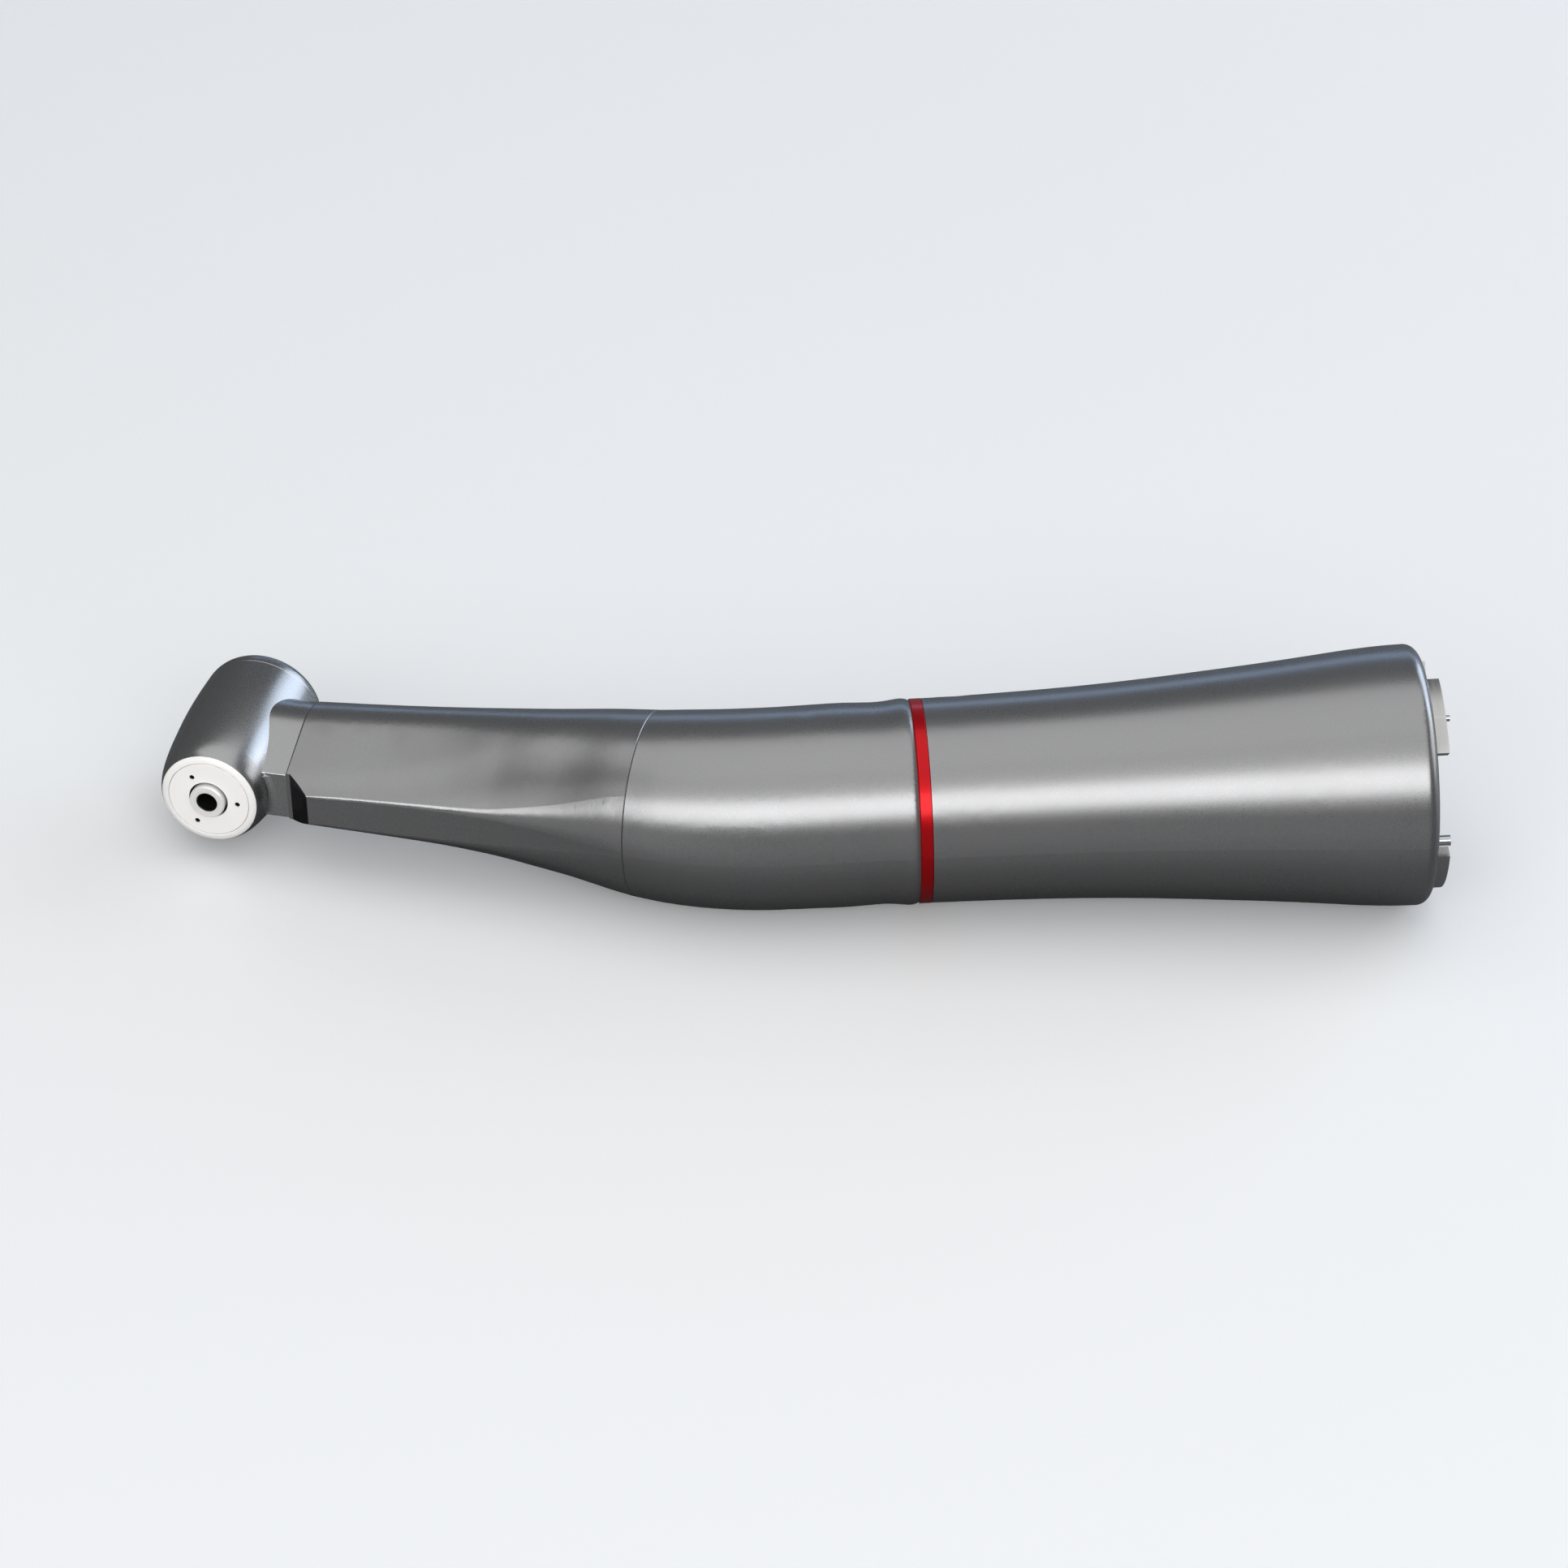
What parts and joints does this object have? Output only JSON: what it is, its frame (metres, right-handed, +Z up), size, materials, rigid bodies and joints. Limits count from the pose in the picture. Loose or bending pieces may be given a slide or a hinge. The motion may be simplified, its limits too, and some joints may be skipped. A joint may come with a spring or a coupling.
{
  "type": "dental contra angle handpiece",
  "caption": "Speed-increasing dental contra angle: bent grip with a red ring, geared drive, ball-bearing chuck head with push-button drill release, light guide, and spray face.",
  "frame": {"origin": "centre of the rear rim of the grip, on the coupling axis", "axes": "+X points out of the rear coupling along the drive axis, the neck bends to +Y going forward, the drill points to -Y, +Z is up with the handpiece lying on its side; the part is mirror-symmetric in outline about the XY plane"},
  "size_m": [0.1011, 0.0315, 0.0208],
  "materials": {
    "grip_metal": "satin hard coating over titanium, very fine blasted grain",
    "red_ring": "glossy red anodised ring",
    "head_metal": "satin coated steel",
    "face_white": "near-white satin face",
    "coupling_metal": "light satin steel",
    "core_metal": "machined",
    "race_steel": "polished bearing steel",
    "shaft_steel": "ground steel",
    "gear_steel": "machined hardened steel",
    "brass": "turned brass",
    "spring_steel": "drawn wire",
    "seal_rubber": "matt black seal",
    "light_glass": "clear glass rod",
    "dark_glass": "dark glossy window",
    "tube_steel": "drawn stainless tube"
  },
  "bodies": {
    "handpiece": {"air_tube": "tube_steel", "alignment_pins": "race_steel", "bearing_nut": "brass", "button_spring": "spring_steel", "cap_ring": "head_metal", "colour_ring": "red_ring", "core_frame": "core_metal", "coupling_bushing": "core_metal", "coupling_ring": "coupling_metal", "face_plate": "face_white", "front_grip_sleeve": "grip_metal", "head_front_bearing_outer": "race_steel", "head_housing": "head_metal", "head_o_ring": "seal_rubber", "head_rear_bearing_outer": "race_steel", "input_front_bearing_outer": "race_steel", "input_rear_bearing_outer": "race_steel", "knee_plate": "core_metal", "light_guide": "light_glass", "light_window": "dark_glass", "neck_front_bearing_outer": "race_steel", "neck_lock_nut": "brass", "neck_rear_bearing_outer": "race_steel", "neck_sleeve": "grip_metal", "neck_tube": "core_metal", "rear_grip_sleeve": "grip_metal", "snap_ring": "spring_steel", "water_tube": "tube_steel"},
    "input": {"input_shaft": "shaft_steel", "dog_clip": "spring_steel", "dog_spring": "spring_steel", "knee_ring_gear": "gear_steel", "input_rear_bearing_inner": "race_steel", "input_front_bearing_inner": "race_steel"},
    "dog": {"drive_dog": "gear_steel"},
    "neck_drive": {"neck_shaft": "shaft_steel", "knee_pinion": "gear_steel", "crown_gear": "gear_steel", "neck_rear_bearing_inner": "race_steel", "neck_front_bearing_inner": "race_steel"},
    "spindle": {"chuck_spindle": "head_metal", "spindle_pinion": "gear_steel", "collet": "shaft_steel", "head_front_bearing_inner": "race_steel", "head_rear_bearing_inner": "race_steel"},
    "plunger": {"release_plunger": "shaft_steel"},
    "button": {"button_cap": "head_metal", "button_pin": "shaft_steel"}
  },
  "joints": [
    {"name": "input_spin", "type": "hinge", "parent": "handpiece", "child": "input", "pos_m": [-0.03, 0, 0], "axis": [-1, 0, 0], "continuous": true},
    {"name": "dog_slide", "type": "slide", "parent": "input", "child": "dog", "axis": [-1, 0, 0], "range_m": [0, 0.0008], "stiffness_N_per_m": 100, "deforming": ["dog_spring"]},
    {"name": "neck_spin", "type": "hinge", "parent": "handpiece", "child": "neck_drive", "pos_m": [-0.05606, 0, 0], "axis": [-0.9511, 0.309, 0], "continuous": true},
    {"name": "spindle_spin", "type": "hinge", "parent": "handpiece", "child": "spindle", "pos_m": [-0.09387, 0.01229, 0], "axis": [-0.309, -0.9511, 0], "continuous": true},
    {"name": "button_press", "type": "slide", "parent": "handpiece", "child": "button", "axis": [-0.309, -0.9511, 0], "range_m": [0, 0.0005], "stiffness_N_per_m": 80, "deforming": ["button_spring"]},
    {"name": "plunger_slide", "type": "slide", "parent": "spindle", "child": "plunger", "axis": [-0.309, -0.9511, 0], "range_m": [0, 0.0005]}
  ],
  "couplings": [
    {"joint": "neck_spin", "follows": "input_spin", "ratio": 3.3333},
    {"joint": "spindle_spin", "follows": "input_spin", "ratio": 5},
    {"joint": "plunger_slide", "follows": "button_press", "ratio": 1}
  ]
}
